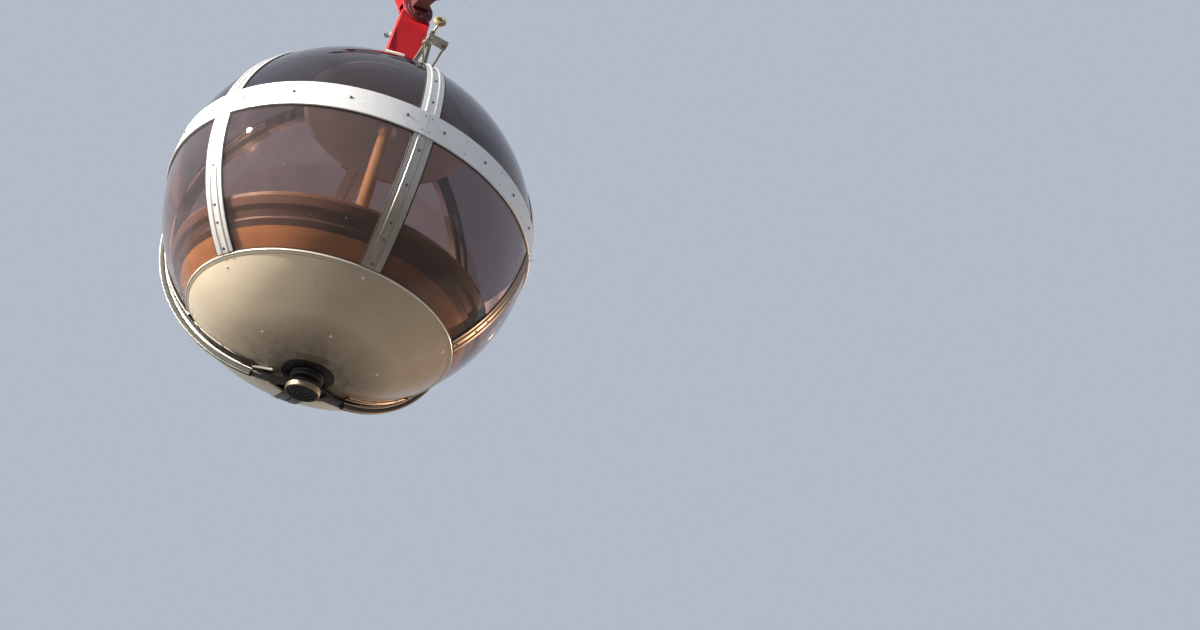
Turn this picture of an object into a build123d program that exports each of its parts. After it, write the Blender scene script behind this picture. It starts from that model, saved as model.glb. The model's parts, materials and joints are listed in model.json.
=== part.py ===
from build123d import *
import os
from math import sin, cos, radians

# ---------------------------------------------------------------------------
# Ball-shaped cable car cabin with its hanger and line carriage.
# Millimetres, +Z up, +X uphill along the lines (level part), +Y the door side.
# Origin: on the running line's axis, straight above the hanger pivot as the
# slanted carriage sees it. The lines climb at SLOPE towards +X.
# ---------------------------------------------------------------------------

os.makedirs("parts", exist_ok=True)

SLOPE = 24.0            # line slope, degrees
ROPE_DROP = 750.0       # jaw line under the running line, square to the lines
TRACK_D = 53.0          # running line diameter
HAUL_D = 32.0           # jaw line diameter
HANG = 2430.0           # hanger pivot down to the middle of the ball

R = 1100.0              # outer radius of the glass ball
GLASS_T = 10.0          # thickness of the panes
RIB_BASE = 6.0          # thickness of the ribs' flat part
RIB_OUT = 1113.0        # outside of band, rib ridges and rails on the fixed shell
BAND_LAT = 4.5          # half height of the equator band, degrees
PAN_LAT = -46.8         # rim of the floor pan
CAP_LAT = 72.0          # lower edge of the roof cap
RIB_W = 112.0           # width of a rib strip
DOOR_IN, DOOR_OUT = 1120.0, 1140.0     # door leaves run outside the shell
DOOR_LIP = 1163.0       # outside of the sealing lip on a leaf's outer edge
FLOOR_Z = -850.0
CEIL_Z = 880.0
POLE_R = 42.0

# wheels and trucks on the running line
TREAD_R, FLANGE_R, WHEEL_W = 105.0, 132.0, 80.0
LINER_W = 19.0          # half width of the soft liner in the groove
AXLE_N = TRACK_D / 2 + TREAD_R         # axle height over the line's axis
TRUCK_S = 475.0                         # truck pivots up and down the line
AXLE_S = 300.0                          # axles each side of a truck pivot
AXLE_R = 20.0

# hanger arms
ARM_Y0, ARM_Y1 = 253.0, 363.0           # front and back faces at the pivot
ARM_W = 230.0                           # width of the lower arm along the line
UPPER_W = 286.0                         # width of the upper arm
CHEEK_T = 22.0
EYE_R = 118.0
PIN_R = 40.0
GAP = 5.0
FIT = 0.05

ux, uz = cos(radians(SLOPE)), sin(radians(SLOPE))
PIVOT = Vector(ROPE_DROP * uz, 0, -ROPE_DROP * ux)
CEN = Vector(PIVOT.X, 0, PIVOT.Z - HANG)

# x along the line, y square to it (up), z towards -Y
ROPE = Plane(origin=(0, 0, 0), x_dir=(ux, 0, uz), z_dir=(0, -1, 0))
# the same, at the hanger pivot
PIV = Plane(origin=(PIVOT.X, 0, PIVOT.Z), x_dir=(ux, 0, uz), z_dir=(0, -1, 0))
# upright plane at the pivot: x is X, y is Z, z towards -Y
PIVUP = Plane(origin=(PIVOT.X, 0, PIVOT.Z), x_dir=(1, 0, 0), z_dir=(0, -1, 0))
# upright side plane through the ball: x is Y, y is Z, z towards +X
SIDE = Plane(origin=CEN, x_dir=(0, 1, 0), z_dir=(1, 0, 0))
LEVEL = Plane(origin=CEN, x_dir=(1, 0, 0), z_dir=(0, 0, 1))
UPRIGHT = Axis(CEN, (0, 0, 1))


def meridian(psi, shift=0.0):
    """Upright half plane through the ball's axis: x outwards, y up.
    shift moves it sideways, towards larger psi."""
    a = radians(psi)
    o = CEN + Vector(-sin(a), cos(a), 0) * shift
    return Plane(origin=o, x_dir=(cos(a), sin(a), 0), z_dir=(sin(a), -cos(a), 0))


def sector(r0, r1, lat0, lat1):
    """Face between two radii and two latitudes, in a meridian sketch."""
    a0, a1 = radians(lat0), radians(lat1)
    with BuildLine() as ln:
        CenterArc((0, 0), r1, lat0, lat1 - lat0)
        CenterArc((0, 0), r0, lat0, lat1 - lat0)
        Line((r0 * cos(a0), r0 * sin(a0)), (r1 * cos(a0), r1 * sin(a0)))
        Line((r0 * cos(a1), r0 * sin(a1)), (r1 * cos(a1), r1 * sin(a1)))
    make_face(ln.edges())


def wedge(psi0, psi1, r0, r1, lat0, lat1):
    """Spherical shell piece, from psi0 round to psi1."""
    with BuildSketch(meridian(psi0)) as sk:
        sector(r0, r1, lat0, lat1)
    revolve(sk.sketch.faces(), axis=UPRIGHT, revolution_arc=psi1 - psi0)


def strip(psi, w0, w1, r0, r1, lat0, lat1, mode=Mode.ADD):
    """Strip of even width along a meridian, from w0 to w1 beside it."""
    with BuildSketch(meridian(psi, w0)) as sk:
        sector(r0, r1, lat0, lat1)
    extrude(sk.sketch.faces(), amount=-(w1 - w0), mode=mode)


def bar(psi, w0, w1, outline):
    """Flat bar in an upright plane: outline of (distance from axis, height)."""
    with BuildSketch(meridian(psi, w0)) as sk:
        with BuildLine() as ln:
            Polyline(*outline)
        make_face(ln.edges())
    extrude(sk.sketch.faces(), amount=-(w1 - w0))


def ring(r_out, r_in, z0, z1, mode=Mode.ADD):
    """Upright tube about the ball's axis."""
    with BuildSketch(LEVEL.offset(z0)) as sk:
        Circle(r_out)
        if r_in > 0:
            Circle(r_in, mode=Mode.SUBTRACT)
    extrude(sk.sketch.faces(), amount=z1 - z0, mode=mode)


def rod(p, q, r):
    """Round rod between two points given from the ball's middle."""
    a, b = CEN + Vector(*p), CEN + Vector(*q)
    with BuildSketch(Plane(origin=a, z_dir=b - a)) as sk:
        Circle(r)
    extrude(sk.sketch.faces(), amount=(b - a).length)


def save(bp, name):
    bp.part.label = name
    export_step(bp.part, "parts/" + name + ".step")


# ---------------------------------------------------------------------------
# Fixed shell of the ball
# ---------------------------------------------------------------------------
# The doorway faces +Y, from psi 30 to 150. Ribs stand at these places.
DOOR_A, DOOR_B = 30.0, 150.0
RIBS = [210.0, 270.0, 330.0]
SECTORS = [(150.0, 210.0), (210.0, 270.0), (270.0, 330.0), (330.0, 390.0)]
SEAM = 0.35             # half gap between panes, hidden under a rib

with BuildPart() as equator_band:
    wedge(DOOR_B + 0.3, DOOR_A + 360 - 0.3, R - 12, RIB_OUT, -BAND_LAT, BAND_LAT)
save(equator_band, "equator_band")

with BuildPart() as upper_glass:
    for p0, p1 in SECTORS:
        wedge(p0 + SEAM, p1 - SEAM, R - GLASS_T, R, BAND_LAT + 0.06, CAP_LAT - 0.3)
save(upper_glass, "upper_glass")

with BuildPart() as lower_glass:
    for p0, p1 in SECTORS:
        wedge(p0 + SEAM, p1 - SEAM, R - GLASS_T, R, PAN_LAT + 0.06, -BAND_LAT - 0.06)
save(lower_glass, "lower_glass")

# rib section: flat strip with two raised ridges, columns: from, to
RIDGE = [(-30.0, -18.0), (18.0, 30.0)]
with BuildPart() as upper_ribs:
    for psi in RIBS:
        strip(psi, -RIB_W / 2, RIB_W / 2, R + 0.3, R + RIB_BASE, BAND_LAT + 0.1, CAP_LAT - 0.1)
        for w0, w1 in RIDGE:
            strip(psi, w0, w1, R + RIB_BASE - 0.5, RIB_OUT, BAND_LAT + 0.1, CAP_LAT - 0.1)
save(upper_ribs, "upper_ribs")

with BuildPart() as lower_ribs:
    for psi in RIBS:
        strip(psi, -RIB_W / 2, RIB_W / 2, R + 0.3, R + RIB_BASE, PAN_LAT + 0.9, -BAND_LAT - 0.1)
        for w0, w1 in RIDGE:
            strip(psi, w0, w1, R + RIB_BASE - 0.5, RIB_OUT, PAN_LAT + 0.9, -BAND_LAT - 0.1)
save(lower_ribs, "lower_ribs")

# rails along both sides of the doorway, on the fixed side: below the band
# they run on over the pan
RAIL_W = 80.0
RAIL_W_LOW = 48.0        # over the pan
RAIL_LOW = -74.0
with BuildPart() as doorway_rails:
    for width, lat0, lat1 in ((RAIL_W_LOW, RAIL_LOW, PAN_LAT - 0.9), (RAIL_W, PAN_LAT - 0.9, -BAND_LAT - 0.1),
                              (RAIL_W, BAND_LAT + 0.1, CAP_LAT - 0.1)):
        strip(DOOR_A, -width, -2.0, R + 0.3, RIB_OUT, lat0, lat1)
        strip(DOOR_B, 2.0, width, R + 0.3, RIB_OUT, lat0, lat1)
save(doorway_rails, "doorway_rails")

# floor pan: part of the sphere with a flat bottom for the hub
PAN_T = 14.0
PAN_BOT = -1077.0
HUB_PIN_R = 40.0
with BuildPart() as floor_pan:
    wedge(0, 360, R - PAN_T, R, -78.2, PAN_LAT)
    ring(224.5, HUB_PIN_R + 0.3, PAN_BOT, PAN_BOT + PAN_T)
save(floor_pan, "floor_pan")

with BuildPart() as pan_rim:
    wedge(DOOR_B + 7.5, DOOR_A + 360 - 7.5, R + 0.2, R + 6, PAN_LAT - 0.9, PAN_LAT + 0.7)
save(pan_rim, "pan_rim")

# hub below: black disc, pin and cap, with the two door rings between
LOW_A = (-1106.0, -1090.0)
LOW_B = (-1128.0, -1112.0)
HUB_NECK = -1134.0
HUB_CAP = -1168.0
HUB_END = -1208.0
with BuildPart() as hub_disc:
    ring(148.0, HUB_PIN_R + 0.4, PAN_BOT - 6, PAN_BOT - 0.1)
save(hub_disc, "hub_disc")

with BuildPart() as hub_pin:
    ring(HUB_PIN_R, 0.0, HUB_NECK, PAN_BOT + 30)
    ring(70.0, 0.0, HUB_CAP, HUB_NECK)
    ring(95.0, 0.0, HUB_END, HUB_CAP)
save(hub_pin, "hub_pin")

# collar above: the door rings turn on it, the hanger foot stands on it
COLLAR_R = 70.0
TOP_A = (1124.0, 1138.0)
TOP_B = (1144.0, 1158.0)
FOOT_IN = 1172.0
with BuildPart() as roof_cap:
    wedge(0, 360, R - 12, R + 6, CAP_LAT, 86.0)
    ring(120.0, 0.0, R - 14, R + 12)
    ring(COLLAR_R, 0.0, R + 10, FOOT_IN)
save(roof_cap, "roof_cap")

# ---------------------------------------------------------------------------
# Inside
# ---------------------------------------------------------------------------
with BuildPart() as cabin_floor:
    ring(648.0, 0.0, FLOOR_Z - 18, FLOOR_Z)
save(cabin_floor, "cabin_floor")

with BuildPart() as ceiling:
    with BuildSketch(meridian(0)):
        with BuildLine():
            Polyline((0, CEIL_Z), (530, CEIL_Z + 10), (562, CEIL_Z + 24), (562, CEIL_Z + 36),
                     (530, CEIL_Z + 30), (0, CEIL_Z + 18), (0, CEIL_Z))
        make_face()
    revolve(axis=UPRIGHT, revolution_arc=360)
save(ceiling, "ceiling")

with BuildPart() as grab_pole:
    ring(POLE_R, 0.0, FLOOR_Z, CEIL_Z)
save(grab_pole, "grab_pole")

# bench: moulded shell round the glass side, open towards the floor.
# outline columns: distance from the axis, height
BENCH = [(560, -850), (578, -850), (578, -560), (896, -562), (876, -596), (852, -611),
         (833, -651), (835, -661), (785, -716), (764, -724), (732, -770), (746, -770),
         (785, -732), (799, -718), (847, -661), (847, -653), (845, -647), (866, -615),
         (892, -601), (916, -562), (916, -540), (560, -540), (560, -850)]
BENCH_A, BENCH_B = 158.0, 382.0
with BuildPart() as bench:
    with BuildSketch(meridian(BENCH_A)):
        with BuildLine():
            Polyline(*BENCH)
        make_face()
    revolve(axis=UPRIGHT, revolution_arc=BENCH_B - BENCH_A)
save(bench, "bench")

# ---------------------------------------------------------------------------
# Door leaves: a closes at psi 30..90, b at psi 90..150
# ---------------------------------------------------------------------------
DOOR_RAIL = 60.0
LIP_W = 24.0
EDGE = 5.0              # each leaf stops this far from the middle plane
TOP_LAT = 60.0


def leaf(name, psi0, outer_is_low, low_ring, top_ring):
    """outer_is_low: the leaf's meeting edge is its psi0 + 60 side."""
    psi1 = psi0 + 60.0
    e0 = 2.0 if outer_is_low else EDGE
    e1 = EDGE if outer_is_low else 2.0
    mid = (psi0 + psi1) / 2
    with BuildPart() as frame:
        strip(psi0, e0, e0 + DOOR_RAIL, DOOR_IN, DOOR_OUT, -81.0, 81.0)
        strip(psi1, -e1 - DOOR_RAIL, -e1, DOOR_IN, DOOR_OUT, -81.0, 81.0)
        # sealing lip along the outer edge
        if outer_is_low:
            strip(psi0, e0, e0 + LIP_W, DOOR_OUT - 1, DOOR_LIP, -74.0, 74.0)
        else:
            strip(psi1, -e1 - LIP_W, -e1, DOOR_OUT - 1, DOOR_LIP, -74.0, 74.0)
        wedge(psi0 + 1.5, psi1 - 1.5, DOOR_IN, DOOR_OUT, -BAND_LAT, BAND_LAT)
        wedge(psi0 + 2, psi1 - 2, DOOR_IN, DOOR_OUT, PAN_LAT - 1.2, PAN_LAT + 1.2)
        wedge(psi0 + 4, psi1 - 4, DOOR_IN, DOOR_OUT, TOP_LAT - 1.5, TOP_LAT + 1.5)
        # ring and two bars at the hub below
        z0, z1 = low_ring
        reach = 235.0 if outer_is_low else 215.0
        for psi, w0, w1 in ((psi0, e0, e0 + DOOR_RAIL), (psi1, -e1 - DOOR_RAIL, -e1)):
            bar(psi, w0, w1, [(60, z0), (reach, z0), (reach, z1), (60, z1), (60, z0)])
        ring(92.0, 0.0, z0, z1)
        ring(HUB_PIN_R + FIT, 0.0, z0 - 1, z1 + 1, mode=Mode.SUBTRACT)
        # ring and arm at the collar above
        z0, z1 = top_ring
        bar(mid, -45.0, 45.0, [(90, z1), (125, z1), (250, 1122), (250, 1088), (205, 1105), (150, z0), (90, z0), (90, z1)])
        ring(118.0, 0.0, z0, z1)
        ring(COLLAR_R + FIT, 0.0, z0 - 1, z1 + 1, mode=Mode.SUBTRACT)
    save(frame, name + "_frame")
    trim = DOOR_RAIL + 0.3
    with BuildPart() as glass:
        for lat0, lat1 in ((PAN_LAT + 1.25, -BAND_LAT - 0.05), (BAND_LAT + 0.05, TOP_LAT - 1.55)):
            wedge(psi0 + 0.5, psi1 - 0.5, DOOR_IN + 4, DOOR_IN + 13, lat0, lat1)
        strip(psi0, e0 - 20, e0 + trim, DOOR_IN - 5, DOOR_LIP + 5, -82, 82, mode=Mode.SUBTRACT)
        strip(psi1, -e1 - trim, -e1 + 20, DOOR_IN - 5, DOOR_LIP + 5, -82, 82, mode=Mode.SUBTRACT)
    save(glass, name + "_glass")
    with BuildPart() as panel:
        for lat0, lat1 in ((-77.5, PAN_LAT - 1.25), (TOP_LAT + 1.55, 76.0)):
            wedge(psi0 + 0.5, psi1 - 0.5, DOOR_IN + 3, DOOR_IN + 15, lat0, lat1)
        strip(psi0, e0 - 20, e0 + trim, DOOR_IN - 5, DOOR_LIP + 5, -82, 82, mode=Mode.SUBTRACT)
        strip(psi1, -e1 - trim, -e1 + 20, DOOR_IN - 5, DOOR_LIP + 5, -82, 82, mode=Mode.SUBTRACT)
    save(panel, name + "_panel")


leaf("door_a", 30.0, True, LOW_A, TOP_A)
leaf("door_b", 90.0, False, LOW_B, TOP_B)

# ---------------------------------------------------------------------------
# Hanger: lower arm and foot swing with the ball
# ---------------------------------------------------------------------------
FOOT_OUT = 1288.0
FOOT_LAT = 56.0
with BuildPart() as hanger_foot:
    with BuildSketch(SIDE.offset(-ARM_W / 2)):
        with BuildLine():
            a0, a1 = radians(FOOT_LAT), radians(96.0)
            CenterArc((0, 0), FOOT_OUT, FOOT_LAT, 96.0 - FOOT_LAT)
            CenterArc((0, 0), FOOT_IN, FOOT_LAT, 96.0 - FOOT_LAT)
            Line((FOOT_IN * cos(a0), FOOT_IN * sin(a0)), (FOOT_OUT * cos(a0), FOOT_OUT * sin(a0)))
            Line((FOOT_IN * cos(a1), FOOT_IN * sin(a1)), (FOOT_OUT * cos(a1), FOOT_OUT * sin(a1)))
        make_face()
    extrude(amount=ARM_W)
    # stands flat on the collar
    ring(COLLAR_R + 2, 0.0, FOOT_IN - 12, FOOT_IN + 10, mode=Mode.SUBTRACT)
    ring(COLLAR_R + 50, 0.0, FOOT_IN + 0.05, FOOT_IN + 40)
save(hanger_foot, "hanger_foot")

with BuildPart() as foot_dome:
    with BuildSketch(meridian(0)):
        with BuildLine():
            Polyline((0, 1275), (150, 1275), (150, 1390), (95, 1440), (0, 1452), (0, 1275))
        make_face()
    revolve(axis=UPRIGHT, revolution_arc=360)
    with BuildSketch(SIDE.offset(-ARM_W / 2 - 60)):
        with BuildLine():
            CenterArc((0, 0), FOOT_OUT, 60, 60)
            Line((FOOT_OUT * cos(radians(60)), FOOT_OUT * sin(radians(60))), (0, 0))
            Line((FOOT_OUT * cos(radians(120)), FOOT_OUT * sin(radians(120))), (0, 0))
        make_face()
    extrude(amount=ARM_W + 120, mode=Mode.SUBTRACT)
save(foot_dome, "foot_dome")

# lower arm side outline, from the ball's middle: Y, Z
LOWER = [(ARM_Y0, HANG), (ARM_Y0 + 4, HANG - 210), (512, 1080), (682, 1080), (ARM_Y1 + 2, HANG - 60),
         (ARM_Y1, HANG), (ARM_Y0, HANG)]
with BuildPart() as lower_arm:
    with BuildSketch(SIDE.offset(-ARM_W / 2)):
        with BuildLine():
            Polyline(*LOWER)
        make_face()
    extrude(amount=ARM_W)
    # room for the fork's cheeks
    with BuildSketch(PIVUP.offset(-ARM_Y1 - 20)):
        Circle(EYE_R + 14)
        with Locations((0, 100)):
            Rectangle(ARM_W + 80, 200)
    extrude(amount=ARM_Y1 - ARM_Y0 + 40, mode=Mode.SUBTRACT)
    # eye between the cheeks
    with BuildSketch(PIVUP.offset(-(ARM_Y1 - CHEEK_T - GAP))):
        Circle(EYE_R - 8)
        with Locations((0, -80)):
            Rectangle(2 * EYE_R - 16, 160)
    extrude(amount=ARM_Y1 - ARM_Y0 - 2 * (CHEEK_T + GAP))
    with BuildSketch(PIVUP.offset(-ARM_Y1 - 20)):
        Circle(PIN_R + FIT)
    extrude(amount=ARM_Y1 - ARM_Y0 + 40, mode=Mode.SUBTRACT)
    # sits on the foot
    with BuildSketch(SIDE.offset(-ARM_W / 2 - 10)):
        Circle(FOOT_OUT)
    extrude(amount=ARM_W + 20, mode=Mode.SUBTRACT)
save(lower_arm, "lower_arm")

# ---------------------------------------------------------------------------
# Upper arm, head beam and pivot: fixed to the carriage, square to the lines
# ---------------------------------------------------------------------------
BEAM_Y0, BEAM_Y1 = 240.0, 376.0
BEAM_N0, BEAM_N1 = 62.0, 204.0
BEAM_S0, BEAM_S1 = -455.0, 560.0
with BuildPart() as upper_arm:
    with BuildSketch(PIV.offset(-ARM_Y1)):
        Circle(EYE_R)
        with BuildLine():
            top = ROPE_DROP + BEAM_N0
            Polyline((-EYE_R, 0), (-EYE_R, 90), (-UPPER_W / 2, 240), (-UPPER_W / 2, top - 330), (-190, top - 190), (-330, top),
                     (250, top), (160, top - 150), (UPPER_W / 2, top - 260), (UPPER_W / 2, 240), (EYE_R, 90), (EYE_R, 0), (-EYE_R, 0))
        make_face()
    extrude(amount=ARM_Y1 - ARM_Y0)
    # slot of the fork
    with BuildSketch(PIV.offset(-(ARM_Y1 - CHEEK_T))):
        Circle(EYE_R + 14)
        with Locations((0, -80)):
            Rectangle(2 * EYE_R + 60, 160)
    extrude(amount=ARM_Y1 - ARM_Y0 - 2 * CHEEK_T, mode=Mode.SUBTRACT)
    with BuildSketch(PIV.offset(-ARM_Y1 - 10)):
        Circle(PIN_R)
    extrude(amount=ARM_Y1 - ARM_Y0 + 20, mode=Mode.SUBTRACT)
save(upper_arm, "upper_arm")

CH = 40.0
with BuildPart() as head_beam:
    with BuildSketch(Plane(origin=(BEAM_S0 * ux, 0, BEAM_S0 * uz), x_dir=(0, 1, 0), z_dir=(ux, 0, uz))):
        # x is Y, y is square to the line
        with BuildLine():
            Polyline((BEAM_Y0, BEAM_N0 + CH), (BEAM_Y0 + CH, BEAM_N0), (BEAM_Y1 - 15, BEAM_N0),
                     (BEAM_Y1, BEAM_N0 + 15), (BEAM_Y1, BEAM_N1 - 15), (BEAM_Y1 - 15, BEAM_N1),
                     (BEAM_Y0 + CH, BEAM_N1), (BEAM_Y0, BEAM_N1 - CH), (BEAM_Y0, BEAM_N0 + CH))
        make_face()
    extrude(amount=BEAM_S1 - BEAM_S0)
    # housings that carry the truck pins
    for s in (-TRUCK_S, TRUCK_S):
        with BuildSketch(ROPE.offset(-BEAM_Y0 - 60)):
            with Locations((s, AXLE_N)):
                RegularPolygon(72, 6, rotation=30)
        extrude(amount=BEAM_Y0 + 60 - 110)
save(head_beam, "head_beam")

TRUCK_PIN_R = 30.0
PLATE_T = 12.0
PLATE_Y = 50.0
COVER_T = 26.0
WASHER_Y = PLATE_Y + PLATE_T + 6.0
with BuildPart() as truck_pins:
    for s in (-TRUCK_S, TRUCK_S):
        with BuildSketch(ROPE.offset(-110)):
            with Locations((s, AXLE_N)):
                Circle(TRUCK_PIN_R)
        extrude(amount=110 + WASHER_Y + 8)
        with BuildSketch(ROPE.offset(WASHER_Y)):
            with Locations((s, AXLE_N)):
                Circle(TRUCK_PIN_R + 13)
        extrude(amount=13)
save(truck_pins, "truck_pins")

with BuildPart() as pivot_pin:
    with BuildSketch(PIV.offset(-ARM_Y1 - 40)):
        Circle(PIN_R)
    extrude(amount=ARM_Y1 - ARM_Y0 + 42)
    for y, r in ((ARM_Y0, 112), (ARM_Y0 - 16, 98), (ARM_Y0 - 28, 76)):
        with BuildSketch(PIV.offset(-y)):
            Circle(r)
        extrude(amount=16 if y == ARM_Y0 else 12)
save(pivot_pin, "pivot_pin")

# spring cylinder behind the arm, with its rod and a second rod beneath
SPRING_Y0 = ARM_Y1 + 40.0
SPRING_AT = (-60.0, 14.0)               # off the pin, towards the downhill side
with BuildPart() as grip_spring:
    with BuildSketch(PIV.offset(-SPRING_Y0)):
        Circle(56)
        with Locations(SPRING_AT):
            Circle(52)
        with Locations((0, -62)):
            Rectangle(44, 60)
    extrude(amount=40)
    with BuildSketch(PIV.offset(-SPRING_Y0 - 185)):
        with Locations(SPRING_AT):
            Circle(43)
    extrude(amount=185)
    with BuildSketch(PIV.offset(-SPRING_Y0 - 235)):
        with Locations(SPRING_AT):
            Circle(16)
    extrude(amount=50)
    with BuildSketch(PIV.offset(-SPRING_Y0 - 170)):
        with Locations((0, -76)):
            Circle(12)
    extrude(amount=170)
    with BuildSketch(PIV.offset(-SPRING_Y0)):
        Circle(PIN_R)
    extrude(amount=40, mode=Mode.SUBTRACT)
save(grip_spring, "grip_spring")

# grip: casting from the flange to the jaw line, with the fixed upper jaw
GRIP_Y1 = ARM_Y0 - 40.0
JAW_S0, JAW_S1 = -60.0, 290.0
GRIPP = Plane(origin=(PIVOT.X, 0, PIVOT.Z), x_dir=(ux, 0, uz), z_dir=(-uz, 0, ux))
JAW = Plane(origin=PIVOT + Vector(ux, 0, uz) * JAW_S0, x_dir=(0, 1, 0), z_dir=(ux, 0, uz))
with BuildPart() as grip_body:
    with BuildSketch(GRIPP.offset(-22)):
        with BuildLine():
            Polyline((-78, GRIP_Y1), (66, GRIP_Y1), (50, 157), (71, 97), (150, 50), (JAW_S1 - 60, 30),
                     (JAW_S1 - 60, 20), (JAW_S0, 20), (JAW_S0, 70), (-78, GRIP_Y1))
        make_face()
    extrude(amount=60)
    with BuildSketch(JAW):
        with BuildLine():
            Polyline((-30, 3), (36, 3), (36, 38), (-14, 38), (-30, 22), (-30, 3))
        make_face()
    extrude(amount=JAW_S1 - JAW_S0 - 60)
    with BuildSketch(JAW.offset(-5)):
        Circle(HAUL_D / 2)
    extrude(amount=JAW_S1 - JAW_S0 + 10, mode=Mode.SUBTRACT)
save(grip_body, "grip_body")

with BuildPart() as grip_jaw:
    with BuildSketch(JAW):
        with BuildLine():
            Polyline((-30, -3), (18, -3), (18, -28), (-20, -28), (-30, -18), (-30, -3))
        make_face()
    extrude(amount=JAW_S1 - JAW_S0)
    with BuildSketch(JAW.offset(-5)):
        Circle(HAUL_D / 2)
    extrude(amount=JAW_S1 - JAW_S0 + 10, mode=Mode.SUBTRACT)
save(grip_jaw, "grip_jaw")

# ---------------------------------------------------------------------------
# Trucks: a rocker with two grooved wheels each
# ---------------------------------------------------------------------------
TRUCKS = [("truck_lower", -TRUCK_S), ("truck_upper", TRUCK_S)]

for name, s in TRUCKS:
    with BuildPart() as truck:
        for y0 in (PLATE_Y, -PLATE_Y - PLATE_T):
            with BuildSketch(ROPE.offset(-(y0 + PLATE_T))):
                with Locations((s, AXLE_N)):
                    SlotCenterToCenter(2 * AXLE_S, 2 * 74)
            extrude(amount=PLATE_T)
        # tube between the plates
        with BuildSketch(ROPE.offset(-PLATE_Y - 1)):
            with Locations((s, AXLE_N)):
                Circle(48)
        extrude(amount=2 * PLATE_Y + 2)
        # axles
        for a in (-AXLE_S, AXLE_S):
            with BuildSketch(ROPE.offset(-PLATE_Y - PLATE_T - 14)):
                with Locations((s + a, AXLE_N)):
                    Circle(AXLE_R)
            extrude(amount=2 * (PLATE_Y + PLATE_T) + 14)
        # bore for the truck pin
        with BuildSketch(ROPE.offset(-120)):
            with Locations((s, AXLE_N)):
                Circle(TRUCK_PIN_R + FIT)
        extrude(amount=240, mode=Mode.SUBTRACT)
        # hook on the back plate
        with BuildSketch(Plane(origin=Vector(ux, 0, uz) * (s + 60), x_dir=(0, 1, 0), z_dir=(ux, 0, uz))):
            with BuildLine():
                Polyline((PLATE_Y + PLATE_T, 80), (PLATE_Y, 80), (PLATE_Y, -58), (-18, -58), (-18, -70),
                         (PLATE_Y + PLATE_T, -70), (PLATE_Y + PLATE_T, 80))
            make_face()
        extrude(amount=80)
    save(truck, name + "_frame")
    # red cover on the outer plate: a strip over the first wheel that widens
    # to a round lobe over the second
    with BuildPart() as cover:
        with BuildSketch(ROPE.offset(PLATE_Y + PLATE_T + 0.3)):
            with BuildLine():
                Polyline((s + 190, AXLE_N + 106), (s + 60, AXLE_N + 100), (s - 345, AXLE_N + 88),
                         (s - 345, AXLE_N + 34), (s - 120, AXLE_N + 8), (s + 160, AXLE_N - 62), (s + 245, AXLE_N - 92))
                ThreePointArc((s + 245, AXLE_N - 92), (s + 398, AXLE_N + 24), (s + 190, AXLE_N + 106))
            make_face()
            with Locations((s, AXLE_N)):
                Circle(50, mode=Mode.SUBTRACT)
        extrude(amount=COVER_T)
    save(cover, name + "_cover")

WHEELS = [("wheel_1", -TRUCK_S - AXLE_S), ("wheel_2", -TRUCK_S + AXLE_S),
          ("wheel_3", TRUCK_S - AXLE_S), ("wheel_4", TRUCK_S + AXLE_S)]
for name, s in WHEELS:
    o = Vector(ux, 0, uz) * s + Vector(-uz, 0, ux) * AXLE_N
    prof = Plane(origin=o, x_dir=(0, 1, 0), z_dir=(ux, 0, uz))
    axle = Axis(o, (0, 1, 0))
    h = WHEEL_W / 2
    with BuildPart() as wheel:
        with BuildSketch(prof):
            with BuildLine():
                Polyline((-h, AXLE_R + FIT), (-h, 42), (-16, 48), (-16, 76), (-h, 84), (-h, FLANGE_R), (-h + 5, FLANGE_R),
                         (-LINER_W, TREAD_R + 8), (-LINER_W, TREAD_R - 15), (LINER_W, TREAD_R - 15),
                         (LINER_W, TREAD_R + 8), (h - 5, FLANGE_R), (h, FLANGE_R),
                         (h, 84), (16, 76), (16, 48), (h, 42), (h, AXLE_R + FIT), (-h, AXLE_R + FIT))
            make_face()
        revolve(axis=axle, revolution_arc=360)
    save(wheel, name)
    with BuildPart() as liner:
        with BuildSketch(prof):
            with BuildLine():
                ThreePointArc((-LINER_W, TREAD_R + 8), (0, TREAD_R), (LINER_W, TREAD_R + 8))
                Polyline((LINER_W, TREAD_R + 8), (LINER_W, TREAD_R - 15), (-LINER_W, TREAD_R - 15), (-LINER_W, TREAD_R + 8))
            make_face()
        revolve(axis=axle, revolution_arc=360)
    save(liner, name.replace("wheel", "liner"))

# ---------------------------------------------------------------------------
# Levers of the door gear on the roof, towards -Y
# ---------------------------------------------------------------------------
ROLLER = (-11.0, -686.0, 1309.0)
STEM = (-22.0, -612.0, 1254.0)
ROLLER_AXIS = Vector(-0.17, -0.98, 0.10).normalized()
with BuildPart() as door_lever:
    # post on the roof cap
    with BuildSketch(LEVEL.offset(1060)):
        with Locations((30, -205)):
            Rectangle(54, 44)
    extrude(amount=226)
    with BuildSketch(SIDE.offset(-60)):
        Circle(R + 6.3)
    extrude(amount=140, mode=Mode.SUBTRACT)
    # open triangular arm
    arm = Plane(origin=CEN + Vector(34, -190, 1256), x_dir=(1, 0, 0), z_dir=(0, 0.07, -1))
    with BuildSketch(arm):
        with BuildLine():
            Polyline((-66, 0), (58, 0), (-44, 440), (-68, 440), (-66, 0))
        make_face()
        with BuildLine():
            Polyline((-44, 44), (28, 44), (-42, 330), (-44, 44))
        make_face(mode=Mode.SUBTRACT)
    extrude(amount=-30)
    back, front = Vector(*ROLLER) - ROLLER_AXIS * 30, Vector(*ROLLER) + ROLLER_AXIS * 22
    rod(STEM, (back.X, back.Y, back.Z), 9.0)
    rod((back.X, back.Y, back.Z), (front.X, front.Y, front.Z), 9.0)
    with BuildSketch(Plane(origin=CEN + Vector(*ROLLER) - ROLLER_AXIS * 18, z_dir=ROLLER_AXIS)):
        Circle(42)
    extrude(amount=36)
save(door_lever, "door_lever")

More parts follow.
